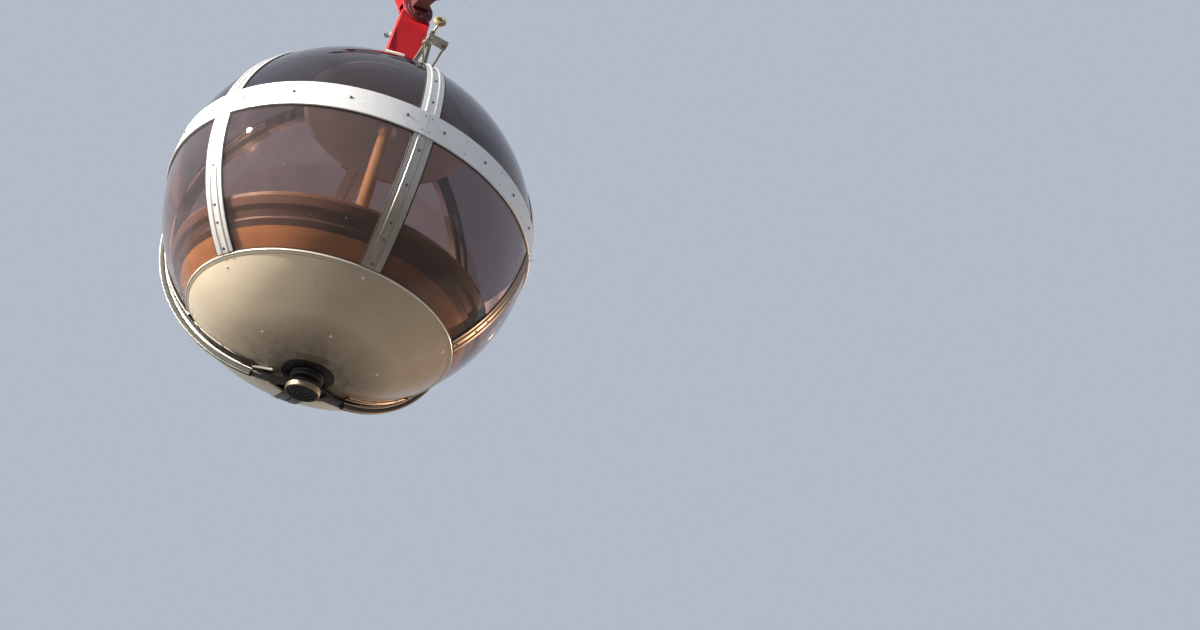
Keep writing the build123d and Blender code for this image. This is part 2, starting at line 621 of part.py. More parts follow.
with BuildPart() as box_lever:
    # box head
    with BuildSketch(LEVEL.offset(941)):
        with Locations((-20, -829)):
            Rectangle(128, 52)
    extrude(amount=32)
    # tapered plate at its left end
    with BuildSketch(SIDE.offset(-84)):
        with BuildLine():
            Polyline((-855, 941), (-855, 973), (-722, 1030), (-710, 1012), (-803, 941), (-855, 941))
        make_face()
    extrude(amount=12)
    rod((-78, -725, 1018), (-18, -545, 1091), 8.0)
    rod((-18, -550, 1089), (0, -462, 1012), 8.0)
    rod((35, -815, 957), (48, -492, 1003), 8.0)
    # foot plate across the rib
    strip(270, -48.0, 112.0, RIB_OUT + 0.6, RIB_OUT + 9, 60.5, 67.0)
save(box_lever, "box_lever")
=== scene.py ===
import bpy
import bmesh
import json
import math
from math import sin, cos, radians, pi
from mathutils import Vector, Matrix


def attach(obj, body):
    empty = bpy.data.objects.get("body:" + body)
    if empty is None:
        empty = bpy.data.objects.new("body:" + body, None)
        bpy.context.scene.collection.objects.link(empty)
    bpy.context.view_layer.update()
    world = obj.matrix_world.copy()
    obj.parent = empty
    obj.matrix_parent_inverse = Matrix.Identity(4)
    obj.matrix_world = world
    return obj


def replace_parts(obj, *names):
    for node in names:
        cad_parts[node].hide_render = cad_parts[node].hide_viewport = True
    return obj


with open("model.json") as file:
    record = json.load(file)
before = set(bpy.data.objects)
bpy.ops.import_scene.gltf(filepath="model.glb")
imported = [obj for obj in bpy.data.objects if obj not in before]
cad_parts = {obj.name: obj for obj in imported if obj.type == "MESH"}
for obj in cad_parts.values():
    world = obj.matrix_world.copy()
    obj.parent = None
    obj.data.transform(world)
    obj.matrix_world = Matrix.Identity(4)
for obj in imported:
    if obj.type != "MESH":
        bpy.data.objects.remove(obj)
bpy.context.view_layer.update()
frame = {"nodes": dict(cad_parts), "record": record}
NODES = frame["nodes"]
BODY = {n: b for b, ns in frame["record"]["behaviour"]["bodies"].items() for n in ns}

# ---------------------------------------------------------------------------
# The same sizes as the CAD model, in metres
# ---------------------------------------------------------------------------
SLOPE = radians(24.0)
UX, UZ = cos(SLOPE), sin(SLOPE)
ALONG = Vector((UX, 0, UZ))             # up the slope
SQUARE = Vector((-UZ, 0, UX))           # square to the slope
PIVOT = Vector((0.750 * UZ, 0, -0.750 * UX))
CEN = Vector((PIVOT.x, 0, PIVOT.z - 2.430))
R = 1.100
BAND_LAT, PAN_LAT, CAP_LAT, RAIL_LOW = 4.5, -46.8, 72.0, -74.0
UP = Vector((0, 0, 1))
OUT = Vector((0, -1, 0))                # towards the side away from the doorway


# ---------------------------------------------------------------------------
# Material tools
# ---------------------------------------------------------------------------
class Mat:
    """A Principled material with a few shorthands for its node tree."""

    def __init__(self, name, color, rough, metal=0.0, **sockets):
        self.m = bpy.data.materials.new(name)
        self.m.use_nodes = True
        self.nt = self.m.node_tree
        self.nt.nodes.clear()
        self.out = self.add("ShaderNodeOutputMaterial")
        self.bs = self.add("ShaderNodeBsdfPrincipled")
        self.link(self.bs.outputs[0], self.out.inputs["Surface"])
        self.bs.inputs["Base Color"].default_value = (*color, 1)
        self.bs.inputs["Roughness"].default_value = rough
        self.bs.inputs["Metallic"].default_value = metal
        for k, v in sockets.items():
            self.bs.inputs[k.replace("_", " ")].default_value = v
        self.co = self.add("ShaderNodeTexCoord").outputs["Object"]

    def add(self, kind):
        return self.nt.nodes.new(kind)

    def link(self, a, b):
        self.nt.links.new(a, b)

    def noise(self, scale, detail=4.0, rough=0.55, stretch=(1, 1, 1), distort=0.0):
        mp = self.add("ShaderNodeMapping")
        mp.inputs["Scale"].default_value = stretch
        self.link(self.co, mp.inputs["Vector"])
        n = self.add("ShaderNodeTexNoise")
        n.inputs["Scale"].default_value = scale
        n.inputs["Detail"].default_value = detail
        n.inputs["Roughness"].default_value = rough
        n.inputs["Distortion"].default_value = distort
        self.link(mp.outputs[0], n.inputs["Vector"])
        return n.outputs[0]

    def ramp(self, fac, stops):
        r = self.add("ShaderNodeValToRGB")
        e = r.color_ramp.elements
        while len(e) < len(stops):
            e.new(0.5)
        for el, (p, c) in zip(e, stops):
            el.position = p
            el.color = (*c, 1) if not isinstance(c, float) else (c, c, c, 1)
        self.link(fac, r.inputs[0])
        return r.outputs[0]

    def mix(self, fac, a, b, blend="MIX"):
        n = self.add("ShaderNodeMix")
        n.data_type = "RGBA"
        n.blend_type = blend
        for sock, v in ((n.inputs[0], fac), (n.inputs[6], a), (n.inputs[7], b)):
            if hasattr(v, "is_output"):
                self.link(v, sock)
            elif isinstance(v, tuple):
                sock.default_value = (*v, 1)
            else:
                sock.default_value = v
        return n.outputs[2]

    def math(self, op, a, b=0.0, c=None):
        n = self.add("ShaderNodeMath")
        n.operation = op
        for i, v in enumerate((a, b, c)):
            if v is None:
                continue
            if hasattr(v, "is_output"):
                self.link(v, n.inputs[i])
            else:
                n.inputs[i].default_value = v
        return n.outputs[0]

    def color(self, out):
        self.link(out, self.bs.inputs["Base Color"])

    def rough(self, fac, lo, hi):
        r = self.add("ShaderNodeMapRange")
        r.inputs["To Min"].default_value = lo
        r.inputs["To Max"].default_value = hi
        self.link(fac, r.inputs["Value"])
        self.link(r.outputs[0], self.bs.inputs["Roughness"])

    def bump(self, height, strength, distance):
        b = self.add("ShaderNodeBump")
        b.inputs["Strength"].default_value = strength
        b.inputs["Distance"].default_value = distance
        self.link(height, b.inputs["Height"])
        self.link(b.outputs[0], self.bs.inputs["Normal"])

    def height(self):
        """Height over the ball's middle, in metres."""
        s = self.add("ShaderNodeSeparateXYZ")
        self.link(self.co, s.inputs[0])
        return self.math("SUBTRACT", s.outputs[2], CEN.z)

    def inward(self):
        """1 on faces that look into the ball, 0 on the others."""
        g = self.add("ShaderNodeNewGeometry")
        d = self.add("ShaderNodeVectorMath")
        d.operation = "SUBTRACT"
        self.link(self.co, d.inputs[0])
        d.inputs[1].default_value = CEN
        dot = self.add("ShaderNodeVectorMath")
        dot.operation = "DOT_PRODUCT"
        self.link(g.outputs["True Normal"], dot.inputs[0])
        self.link(d.outputs[0], dot.inputs[1])
        return self.math("LESS_THAN", dot.outputs["Value"], -0.3)


def wear(self, radius, scale):
    """1 along edges that hands, dust and rain have rubbed, broken up by noise; radius in mm."""
    bv = self.add("ShaderNodeBevel")
    bv.samples = 4
    bv.inputs["Radius"].default_value = radius / 1000
    g = self.add("ShaderNodeNewGeometry")
    dot = self.add("ShaderNodeVectorMath")
    dot.operation = "DOT_PRODUCT"
    self.link(bv.outputs[0], dot.inputs[0])
    self.link(g.outputs["Normal"], dot.inputs[1])
    r = self.add("ShaderNodeMapRange")
    r.inputs["From Min"].default_value = 0.985
    r.inputs["From Max"].default_value = 0.86
    self.link(dot.outputs["Value"], r.inputs["Value"])
    return self.math("MULTIPLY", r.outputs[0], self.ramp(self.noise(scale, 5, 0.7), [(0.36, 0.0), (0.6, 1.0)]))


Mat.edge = wear


def paint(name, base, dark, rough=0.32, coat=0.35, grime=0.35, peel=0.25, spec=0.5):
    """Gloss paint on steel: tone drifts, patches of dust, rubbed edges, orange peel."""
    m = Mat(name, base, rough, Coat_Weight=coat, Coat_Roughness=0.12, Specular_IOR_Level=spec)
    tone = m.ramp(m.noise(2.2, 3), [(0.3, base), (0.75, tuple(c * 0.82 for c in base))])
    dust = m.ramp(m.noise(9, 8, 0.7, distort=0.6), [(0.52, 0.0), (0.78, 1.0)])
    worn = m.edge(9.0, 30.0)
    chips = m.math("MULTIPLY", worn, m.ramp(m.noise(130, 4, 0.7), [(0.56, 0.0), (0.62, 1.0)]))
    skin = m.mix(m.math("MULTIPLY", dust, grime), tone, dark)
    skin = m.mix(m.math("MULTIPLY", worn, 0.5), skin, tuple(c * 0.75 + 0.11 for c in base))
    m.color(m.mix(m.math("MULTIPLY", chips, 0.8), skin, (0.11, 0.085, 0.075)))
    m.rough(m.math("ADD", m.noise(14, 6, 0.65), m.math("MULTIPLY", worn, 0.35)), rough - 0.08, rough + 0.22)
    m.bump(m.noise(240, 2), peel, 0.0006)
    return m.m


def metal(name, base, rough, stretch, scratch=0.25, stain=(0.30, 0.29, 0.28), amount=0.4, met=1.0):
    """Worn bare metal with a rolling direction."""
    m = Mat(name, base, rough, met)
    grain = m.noise(18, 5, 0.6, stretch)
    spots = m.ramp(m.noise(7, 8, 0.72, distort=0.8), [(0.5, 0.0), (0.8, 1.0)])
    tone = m.ramp(grain, [(0.25, tuple(c * 0.84 for c in base)), (0.7, base)])
    worn = m.edge(3.0, 45.0)
    skin = m.mix(m.math("MULTIPLY", spots, amount), tone, stain)
    m.color(m.mix(m.math("MULTIPLY", worn, 0.75), skin, tuple(min(0.96, c * 1.15 + 0.06) for c in base)))
    fac = m.math("ADD", m.math("MULTIPLY", grain, 0.6), m.math("MULTIPLY", spots, 0.4))
    m.rough(m.math("SUBTRACT", fac, m.math("MULTIPLY", worn, 0.35)), rough - 0.1, rough + 0.2)
    m.bump(grain, scratch, 0.0004)
    return m.m


def lined(name, base, lining, rough, stretch=(1, 1, 0.25)):
    """Aluminium outside, dark moulded lining on the faces that look inwards."""
    m = Mat(name, base, rough)
    grain = m.noise(26, 5, 0.6, stretch)
    spots = m.ramp(m.noise(8, 8, 0.72, distort=0.8), [(0.52, 0.0), (0.8, 1.0)])
    tone = m.ramp(grain, [(0.25, tuple(c * 0.82 for c in base)), (0.7, base)])
    tone = m.mix(m.math("MULTIPLY", spots, 0.35), tone, (0.3, 0.28, 0.26))
    tone = m.mix(m.math("MULTIPLY", m.edge(2.0, 45.0), 0.6), tone, tuple(min(0.96, c * 1.15 + 0.05) for c in base))
    inside = m.inward()
    high = m.add("ShaderNodeMapRange")
    high.inputs["From Min"].default_value = -0.22
    high.inputs["From Max"].default_value = -0.10
    m.link(m.height(), high.inputs["Value"])
    foot = m.math("LESS_THAN", m.height(), -1.050)
    skin = m.mix(inside, tone, m.mix(high.outputs[0], lining, (0.46, 0.43, 0.44)))
    m.color(m.mix(foot, skin, (0.022, 0.021, 0.022)))
    m.link(m.math("MULTIPLY", m.math("SUBTRACT", 1.0, m.math("MAXIMUM", foot, inside)), 0.6), m.bs.inputs["Metallic"])
    m.rough(m.math("MAXIMUM", grain, inside), rough - 0.1, rough + 0.3)
    m.bump(grain, 0.2, 0.0004)
    return m.m


def plastic(name, base, other, rough=0.38, coat=0.15, scale=5.0, amount=0.4, bump=0.12, wear=0.5):
    m = Mat(name, base, rough, Coat_Weight=coat, Coat_Roughness=0.2)
    cloud = m.ramp(m.noise(scale, 6, 0.6, distort=0.4), [(0.42, 0.0), (0.78, 1.0)])
    skin = m.mix(m.math("MULTIPLY", cloud, amount), base, other)
    if wear:
        skin = m.mix(m.math("MULTIPLY", m.edge(4.0, 40.0), wear), skin, tuple(c * 0.85 + 0.1 for c in base))
    m.color(skin)
    m.rough(m.noise(scale * 3, 6, 0.6), rough - 0.08, rough + 0.16)
    m.bump(m.noise(320, 2), bump, 0.0005)
    return m.m


def rubber(name, base, rough=0.72):
    m = Mat(name, base, rough)
    dust = m.ramp(m.noise(30, 6, 0.65), [(0.45, 0.0), (0.8, 1.0)])
    skin = m.mix(m.math("MULTIPLY", dust, 0.4), base, tuple(min(1, c * 2.6 + 0.02) for c in base))
    m.color(m.mix(m.math("MULTIPLY", m.edge(2.5, 50.0), 0.6), skin, tuple(c + 0.07 for c in base)))
    m.rough(m.noise(50, 4), rough - 0.12, rough + 0.1)
    m.bump(m.noise(420, 2), 0.3, 0.0005)
    return m.m


def smoked(name, tint, shade, dull=(0.0, 0.05)):
    """Smoked pane that lets lamp light through to the inside."""
    m = Mat(name, tint, 0.015, IOR=1.46)
    haze = m.ramp(m.noise(3.5, 8, 0.6, distort=1.2), [(0.4, 0.0), (0.85, 1.0)])
    m.rough(haze, *dull)
    wipe = m.ramp(m.noise(46, 3, 0.7, (1, 1, 0.06), 0.3), [(0.45, 0.0), (0.75, 1.0)])
    film_and_painted_shade = m.add("ShaderNodeMapRange")
    film_and_painted_shade.inputs["To Min"].default_value = 0.985
    film_and_painted_shade.inputs["To Max"].default_value = 0.945
    m.link(m.math("MULTIPLY", m.math("ADD", haze, wipe), 0.6), film_and_painted_shade.inputs["Value"])
    m.link(film_and_painted_shade.outputs[0], m.bs.inputs["Transmission Weight"])
    m.bump(m.noise(2.4, 1), 0.06, 0.004)
    clear = m.add("ShaderNodeBsdfTransparent")
    clear.inputs[0].default_value = (*shade, 1)
    lp = m.add("ShaderNodeLightPath")
    mx = m.add("ShaderNodeMixShader")
    m.link(lp.outputs["Is Shadow Ray"], mx.inputs[0])
    m.link(m.bs.outputs[0], mx.inputs[1])
    m.link(clear.outputs[0], mx.inputs[2])
    m.link(mx.outputs[0], m.out.inputs["Surface"])
    return m.m


def cream_pan():
    m = Mat("cream_pan", (0.66, 0.60, 0.47), 0.3, Coat_Weight=0.3, Coat_Roughness=0.15)
    cloud = m.ramp(m.noise(2.6, 5, 0.55, distort=0.6), [(0.35, (0.56, 0.49, 0.38)), (0.75, (0.485, 0.41, 0.31))])
    specks = m.ramp(m.noise(70, 3, 0.6), [(0.68, 0.0), (0.74, 1.0)])
    tone = m.mix(m.math("MULTIPLY", specks, 0.25), cloud, (0.25, 0.2, 0.14))
    # grease and painted shade: the pan darkens around the hub
    low = m.math("MULTIPLY", m.height(), -1.0)
    near = m.add("ShaderNodeMapRange")
    near.inputs["From Min"].default_value = 0.985
    near.inputs["From Max"].default_value = 1.080
    m.link(low, near.inputs["Value"])
    grease_and_painted_shade = m.math("MULTIPLY", near.outputs[0], m.math("ADD", m.noise(9, 6, 0.7, distort=1.0), 0.25))
    # painted shade: the pan turns browner towards the uphill end
    s = m.add("ShaderNodeSeparateXYZ")
    m.link(m.co, s.inputs[0])
    film_and_painted_shade = m.add("ShaderNodeMapRange")
    film_and_painted_shade.inputs["From Min"].default_value = CEN.x - 0.25
    film_and_painted_shade.inputs["From Max"].default_value = CEN.x + 0.75
    m.link(s.outputs[0], film_and_painted_shade.inputs["Value"])
    film_and_painted_shade = m.math("MULTIPLY", film_and_painted_shade.outputs[0], m.math("ADD", m.noise(2.0, 4, 0.6, distort=0.5), 0.35))
    tone = m.mix(m.math("MULTIPLY", film_and_painted_shade, 0.75), tone, (0.235, 0.165, 0.11))
    skin = m.mix(m.math("MULTIPLY", grease_and_painted_shade, 1.0), tone, (0.06, 0.047, 0.04))
    skin = m.mix(m.math("MULTIPLY", m.edge(4.0, 34.0), 0.6), skin, (0.36, 0.33, 0.29))
    m.color(m.mix(m.inward(), skin, (0.10, 0.075, 0.062)))
    m.rough(m.noise(6, 6, 0.6), 0.2, 0.42)
    m.bump(m.noise(1.6, 2), 0.1, 0.01)
    return m.m


def cream_panel():
    m = Mat("cream_panel", (0.62, 0.56, 0.44), 0.34, Coat_Weight=0.25, Coat_Roughness=0.2)
    cloud = m.ramp(m.noise(3.0, 6, 0.6, distort=0.4), [(0.42, (0.62, 0.56, 0.44)), (0.8, (0.50, 0.44, 0.34))])
    up = m.math("GREATER_THAN", m.height(), 0.0)
    cloud = m.mix(m.math("MULTIPLY", m.edge(4.0, 34.0), 0.6), cloud, (0.36, 0.33, 0.29))
    m.color(m.mix(m.inward(), cloud, m.mix(up, (0.15, 0.125, 0.115), (0.46, 0.43, 0.44))))
    m.rough(m.noise(9, 6, 0.6), 0.26, 0.5)
    m.bump(m.noise(320, 2), 0.1, 0.0005)
    return m.m


def bench_shell():
    """Dark brown shell with painted light: tan on the ledges and a lighter top, by height, stand for sunlight on them.
    """
    m = Mat("bench_brown", (0.13, 0.065, 0.04), 0.42, Coat_Weight=0.2, Coat_Roughness=0.25)
    brown = m.ramp(m.noise(4, 6, 0.6, distort=0.5), [(0.3, (0.075, 0.046, 0.031)), (0.8, (0.048, 0.031, 0.022))])
    sunlit_tan = m.ramp(m.noise(6, 5, 0.55), [(0.3, (0.50, 0.27, 0.095)), (0.8, (0.40, 0.21, 0.08))])
    h = m.height()
    # painted highlight on the top and painted sunlight on the ledge band
    top_highlight = m.math("MULTIPLY", m.math("GREATER_THAN", h, -0.600), 0.12)
    sunlit_ledges = m.math("MULTIPLY", m.math("GREATER_THAN", h, -0.772), m.math("LESS_THAN", h, -0.690))
    skin = m.mix(m.math("MAXIMUM", top_highlight, sunlit_ledges), brown, sunlit_tan)
    m.color(m.mix(m.math("MULTIPLY", m.edge(8.0, 22.0), 0.55), skin, (0.34, 0.21, 0.13)))
    m.rough(m.noise(12, 6, 0.6), 0.32, 0.55)
    m.bump(m.noise(160, 3), 0.15, 0.0006)
    return m.m


RED = paint("red_gloss", (0.385, 0.009, 0.015), (0.15, 0.02, 0.02), 0.42, 0.04, spec=0.25)
# darker copy of the red paint, for the pivot pin, grip body and pivot bolts
RED_DARK = paint("red_darker", (0.085, 0.007, 0.012), (0.03, 0.012, 0.014), 0.42, 0.2, 0.6)
RED_COVER = paint("red_cover", (0.66, 0.02, 0.03), (0.16, 0.03, 0.025), 0.3, 0.4, 0.45)
BLACK = paint("black_satin", (0.014, 0.014, 0.018), (0.07, 0.058, 0.05), 0.45, 0.05, 0.28, spec=0.3)
BAND = lined("aluminium_rolled", (0.74, 0.74, 0.735), (0.40, 0.37, 0.37), 0.36, (1, 1, 12))
RIB = metal("aluminium_rib", (0.75, 0.745, 0.73), 0.34, (2.6, 2.6, 1.7), 0.1, (0.40, 0.38, 0.36), 0.32, 0.6)
# darker copy of the rib aluminium: painted shade, for the lower rib at psi 270 and the beads of door_b
RIB_SHADED = metal("aluminium_painted_shade", (0.47, 0.43, 0.385), 0.38, (2.6, 2.6, 1.7), 0.1, (0.24, 0.21, 0.18), 0.45)
# near-black copy of the rib aluminium: painted dark reflection, for the doorway rails at psi 150
RIB_DARK_REFLECTION = metal("aluminium_painted_dark_reflection", (0.145, 0.135, 0.12), 0.5, (2.6, 2.6, 1.7), 0.1, (0.16, 0.14, 0.12), 0.5)
# warm brown copy of the rib aluminium: painted warm reflection, for the lower rib at psi 330, the doorway rails at psi
# 30 and the beads of door_a
RIB_WARM_REFLECTION = metal("aluminium_painted_warm_reflection", (0.34, 0.25, 0.18), 0.36, (2.6, 2.6, 1.7), 0.1, (0.13, 0.095, 0.07), 0.5)
CAP = metal("aluminium_cap", (0.70, 0.69, 0.68), 0.4, (1, 1, 1), 0.2, (0.3, 0.29, 0.28), 0.45)
LIP = metal("bright_lip", (0.92, 0.90, 0.85), 0.24, (1, 1, 6), 0.1, (0.5, 0.48, 0.44), 0.25, 0.4)
STEEL = metal("bare_steel", (0.55, 0.54, 0.52), 0.38, (1, 1, 1), 0.3, (0.20, 0.15, 0.11), 0.45)
LEVER = metal("zinc_lever", (0.33, 0.305, 0.255), 0.5, (1, 1, 1), 0.35, (0.12, 0.095, 0.07), 0.6)
ZINC = metal("zinc_spring", (0.62, 0.62, 0.58), 0.42, (1, 1, 1), 0.3, (0.3, 0.27, 0.22), 0.4)
BOLT = metal("bolt_steel", (0.22, 0.212, 0.20), 0.42, (1, 1, 1), 0.2, (0.12, 0.10, 0.085), 0.6)
GOLD = metal("bronze_ring", (0.27, 0.22, 0.15), 0.5, (1, 1, 4), 0.25, (0.10, 0.08, 0.06), 0.75)
RIM = metal("wheel_bronze", (0.50, 0.35, 0.19), 0.42, (1, 1, 1), 0.3, (0.10, 0.07, 0.05), 0.6)
# the leaf frames' aluminium is kept darker, bronze-grey: painted shade
DOORS_SHADED = lined("leaf_aluminium_painted_shade", (0.44, 0.42, 0.395), (0.055, 0.038, 0.032), 0.36)
RUBBER = rubber("seal_rubber", (0.014, 0.013, 0.014))
TYRE = rubber("liner_rubber", (0.035, 0.03, 0.026))
FLOOR = rubber("floor_sheet", (0.07, 0.06, 0.055))
POST = plastic("post_brown", (0.075, 0.048, 0.038), (0.035, 0.025, 0.022), 0.45)
POST_PALE = plastic("post_beige", (0.25, 0.21, 0.175), (0.17, 0.14, 0.12), 0.45)
POST_SLATE = plastic("post_slate", (0.045, 0.05, 0.065), (0.03, 0.032, 0.04), 0.45)
HIGHLIGHT_TRIM = plastic("roof_highlight_white", (0.84, 0.80, 0.72), (0.6, 0.56, 0.5), 0.45)
PANEL = cream_panel()
LINING = plastic("ceiling_lining", (0.31, 0.30, 0.285), (0.225, 0.215, 0.205), 0.6, 0.0, 3.0)
POLE = plastic("pole_tan", (0.50, 0.335, 0.135), (0.37, 0.23, 0.09), 0.34, 0.4, 8.0)
ROLLER = plastic("roller_beige", (0.27, 0.195, 0.095), (0.13, 0.09, 0.045), 0.55, 0.0, 24.0, 0.7)
GLASS = smoked("smoked_pane", (0.565, 0.455, 0.44), (0.80, 0.74, 0.72))
GLASS_TOP = smoked("smoked_top_pane", (0.235, 0.20, 0.232), (0.62, 0.56, 0.57))
GLASS_DOOR = smoked("smoked_door_pane", (0.51, 0.42, 0.415), (0.80, 0.74, 0.72), (0.06, 0.13))
PAN, BENCH = cream_pan(), bench_shell()

LOOK = [
    ("upper_glass", GLASS_TOP), ("lower_glass", GLASS), ("door_a_glass", GLASS_DOOR), ("door_b_glass", GLASS_DOOR),
    ("equator_band", BAND), ("upper_ribs", RIB), ("lower_ribs", RIB), ("doorway_rails", RIB), ("pan_rim", LIP),
    ("roof_cap", CAP), ("floor_pan", PAN), ("door_a_panel", PANEL), ("door_b_panel", PANEL),
    ("door_a_frame", DOORS_SHADED), ("door_b_frame", DOORS_SHADED), ("hub_disc", BLACK), ("hub_pin", BLACK),
    ("cabin_floor", FLOOR), ("bench", BENCH), ("ceiling", LINING), ("grab_pole", POLE),
    ("lower_arm", RED), ("hanger_foot", RED), ("foot_dome", RED), ("upper_arm", RED), ("head_beam", RED),
    ("truck_pins", STEEL), ("pivot_pin", RED_DARK), ("grip_body", RED_DARK), ("grip_jaw", BLACK), ("grip_spring", ZINC),
    ("truck_lower_frame", BLACK), ("truck_upper_frame", BLACK), ("truck_lower_cover", RED_COVER),
    ("truck_upper_cover", RED_COVER), ("door_lever", LEVER), ("box_lever", LEVER),
] + [("wheel_%d" % i, RIM) for i in (1, 2, 3, 4)] + [("liner_%d" % i, TYRE) for i in (1, 2, 3, 4)]
for node, m in LOOK:
    for s in NODES[node].material_slots:
        s.material = m


# ---------------------------------------------------------------------------
# Mesh tools
# ---------------------------------------------------------------------------
class Builder:
    """Collects closed lofts and turns them into one named piece."""

    def __init__(self):
        self.v, self.f, self.slots, self.slot = [], [], [], 0

    def loft(self, rings, cap=True, loop=False):
        n, m, base = len(rings[0]), len(rings), len(self.v)
        for r in rings:
            self.v += [tuple(p) for p in r]
        for i in range(m if loop else m - 1):
            a, b = base + i * n, base + ((i + 1) % m) * n
            self.f += [(a + j, a + (j + 1) % n, b + (j + 1) % n, b + j) for j in range(n)]
        if cap and not loop:
            self.f.append(tuple(base + j for j in reversed(range(n))))
            self.f.append(tuple(base + (m - 1) * n + j for j in range(n)))
        self.slots += [self.slot] * (len(self.f) - len(self.slots))

    def lathe(self, origin, axis, profile, seg=32, spin=0.0, ring=False):
        """profile columns: radius, distance along axis, in mm; ring closes the profile on itself."""
        axis = Vector(axis).normalized()
        side = axis.orthogonal().normalized()
        other = axis.cross(side)
        rings = []
        for r, h in profile:
            rings.append([origin + axis * (h / 1000) + (side * cos(a) + other * sin(a)) * (r / 1000)
                          for a in (spin + 2 * pi * k / seg for k in range(seg))])
        self.loft(rings, loop=ring)

    def tube(self, points, r, seg=12):
        """Round bar through points, r in mm."""
        rings = []
        for i, p in enumerate(points):
            d = (points[min(i + 1, len(points) - 1)] - points[max(i - 1, 0)]).normalized()
            side = d.cross(UP if abs(d.z) < 0.9 else Vector((1, 0, 0))).normalized()
            other = d.cross(side)
            rings.append([p + (side * cos(a) + other * sin(a)) * (r / 1000) for a in (2 * pi * k / seg for k in range(seg))])
        self.loft(rings)

    def meridian(self, psi, profile, lat0, lat1, n=0):
        """Sweeps a closed profile of (mm sideways, mm over the glass) along a meridian."""
        a = radians(psi)
        e, t = Vector((cos(a), sin(a), 0)), Vector((-sin(a), cos(a), 0))
        n = n or max(12, round((lat1 - lat0) * 2.8))
        rings = []
        for i in range(n + 1):
            b = radians(lat0 + (lat1 - lat0) * i / n)
            d = e * cos(b) + UP * sin(b)
            rings.append([CEN + d * (R + h / 1000) + t * (w / 1000) for w, h in profile])
        self.loft(rings)

    def parallel(self, psi0, psi1, profile, n=96, loop=False):
        """Sweeps a closed profile of (latitude, mm over the glass) round the ball."""
        rings = []
        for i in range(n if loop else n + 1):
            a = radians(psi0 + (psi1 - psi0) * i / n)
            rings.append([CEN + Vector((cos(a) * cos(radians(l)), sin(a) * cos(radians(l)), sin(radians(l)))) * (R + h / 1000)
                          for l, h in profile])
        self.loft(rings, loop=loop)

    def bolt(self, p, n, r=6.0, kind="dome"):
        n = Vector(n).normalized()
        if kind != "flat":
            self.lathe(p - n * 0.001, n, [(r * 1.45, 0), (r * 1.45, 1.6), (r * 1.3, 2.2), (r * 1.05, 2.2)], 20)
        if kind == "flat":
            self.lathe(p, n, [(r, -0.5), (r, 0.25), (r * 0.8, 0.6), (r * 0.4, 0.6)], 16)
        elif kind == "hex":
            self.lathe(p, n, [(r, 0.8), (r, r * 0.9), (r * 0.86, r * 1.12), (r * 0.5, r * 1.14)], 6, 0.3)
        else:
            self.lathe(p, n, [(r, 0.8), (r, r * 0.35), (r * 0.86, r * 0.62), (r * 0.55, r * 0.78), (r * 0.34, r * 0.8), (r * 0.3, r * 0.5)], 16)

    def make(self, name, mat, body, sharp=32):
        me = bpy.data.meshes.new(name)
        me.from_pydata(self.v, [], self.f)
        bm = bmesh.new()
        bm.from_mesh(me)
        bmesh.ops.recalc_face_normals(bm, faces=bm.faces)
        bm.to_mesh(me)
        bm.free()
        me.shade_smooth()
        me.set_sharp_from_angle(angle=radians(sharp))
        for one in mat if isinstance(mat, list) else [mat]:
            me.materials.append(one)
        for poly, k in zip(me.polygons, self.slots):
            poly.material_index = k
        ob = bpy.data.objects.new(name, me)
        bpy.context.scene.collection.objects.link(ob)
        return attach(ob, body)


def on_ball(psi, lat, h=0.0, w=0.0):
    """(point, outward direction) at mm h over the glass, mm w sideways."""
    a, b = radians(psi), radians(lat)
    d = Vector((cos(a) * cos(b), sin(a) * cos(b), sin(b)))
    return CEN + d * (R + h / 1000) + Vector((-sin(a), cos(a), 0)) * (w / 1000), d


def refine(node, mat, width=3.0, seg=2, angle=32, drop=None):
    """A copy of a CAD node with its sharp edges broken, standing for the node."""
    me = NODES[node].data.copy()
    me.name = node + "_eased"
    bm = bmesh.new()
    bm.from_mesh(me)
    bmesh.ops.remove_doubles(bm, verts=bm.verts, dist=1e-5)
    if drop:
        bmesh.ops.delete(bm, geom=[v for v in bm.verts if (v.co - drop[0]).length < drop[1]], context="VERTS")
    bmesh.ops.dissolve_limit(bm, angle_limit=radians(0.6), verts=bm.verts, edges=bm.edges)
    bm.to_mesh(me)
    bm.free()
    me.materials.clear()
    me.materials.append(mat)
    me.shade_smooth()
    me.set_sharp_from_angle(angle=radians(angle))
    ob = bpy.data.objects.new(node + "_eased", me)
    bpy.context.scene.collection.objects.link(ob)
    b = ob.modifiers.new("ease", "BEVEL")
    b.width = width / 1000
    b.segments = seg
    b.limit_method = "ANGLE"
    b.angle_limit = radians(angle)
    b.use_clamp_overlap = True
    b.harden_normals = True
    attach(ob, BODY[node])
    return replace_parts(ob, node)


ROLL = CEN + Vector((-0.011, -0.686, 1.309))
STEM = CEN + Vector((-0.022, -0.612, 1.254))
for node, mat, width in [("lower_arm", RED, 7), ("hanger_foot", RED, 6), ("upper_arm", RED, 5), ("head_beam", RED, 6),
                         ("grip_body", RED_DARK, 3), ("grip_jaw", BLACK, 2), ("truck_lower_cover", RED_COVER, 6),
                         ("truck_upper_cover", RED_COVER, 6), ("box_lever", LEVER, 2.5), ("door_lever", LEVER, 2.5),
                         ("cabin_floor", FLOOR, 3)]:
    refine(node, mat, width, drop=(ROLL, 0.0475) if node == "door_lever" else None)

